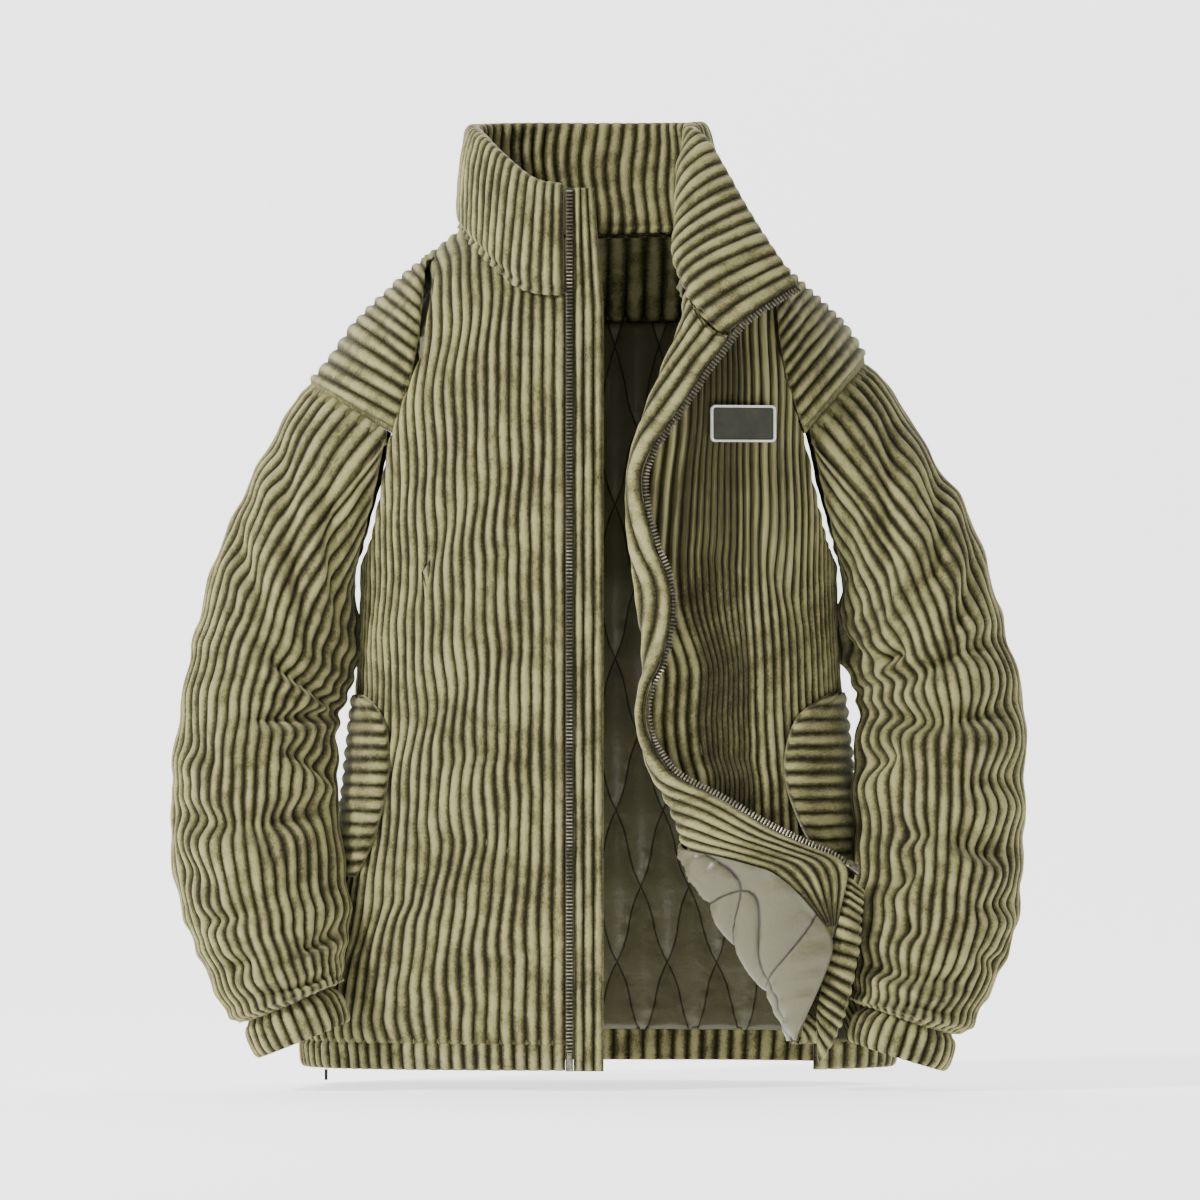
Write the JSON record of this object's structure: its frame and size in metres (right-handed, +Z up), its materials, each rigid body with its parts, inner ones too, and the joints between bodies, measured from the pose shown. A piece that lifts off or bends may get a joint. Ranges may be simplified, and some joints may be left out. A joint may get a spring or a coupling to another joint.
{
  "type": "corduroy jacket",
  "caption": "Padded olive corduroy bomber jacket with a stand collar, open front zip, quilted satin lining, curved welt pockets and a bare chest badge, filled out as worn.",
  "frame": {"origin": "on the centre plane at the base of the neck, level with the shoulders that carry the jacket", "axes": "+X to the wearer's left, +Y to the wearer's back, +Z up"},
  "size_m": [0.6963, 0.3261, 0.7918],
  "materials": {
    "corduroy": "soft cotton pile in wide wales",
    "satin": "satin weave with a soft shine",
    "zip_metal": "dull aged metal",
    "zip_tape": "plain woven tape",
    "badge_rubber": "matte moulded rubber",
    "badge_border": "matte moulded rubber",
    "cord": "braided cord"
  },
  "bodies": {
    "root": {"front_right": "corduroy", "front_left": "corduroy", "back": "corduroy", "shoulder_right": "corduroy", "shoulder_left": "corduroy", "sleeve_right": "corduroy", "sleeve_left": "corduroy", "cuff_right": "corduroy", "cuff_left": "corduroy", "hem_right": "corduroy", "hem_back": "corduroy", "hem_left": "corduroy", "hem_left_turned": "corduroy", "collar": "corduroy", "placket_right": "corduroy", "facing_left": "corduroy", "facing_neck": "corduroy", "pocket_right": "corduroy", "pocket_left": "corduroy", "lining_back": "satin", "lining_right": "satin", "lining_left": "satin", "zip_tape_right": "zip_tape", "zip_tape_left": "zip_tape", "zip_chain_right": "zip_metal", "zip_chain_left": "zip_metal", "zip_pin_right": "zip_metal", "zip_slider_left": "zip_metal", "badge_field": "badge_rubber", "badge_rim": "badge_border", "hem_cord_end": "cord"}
  },
  "joints": []
}
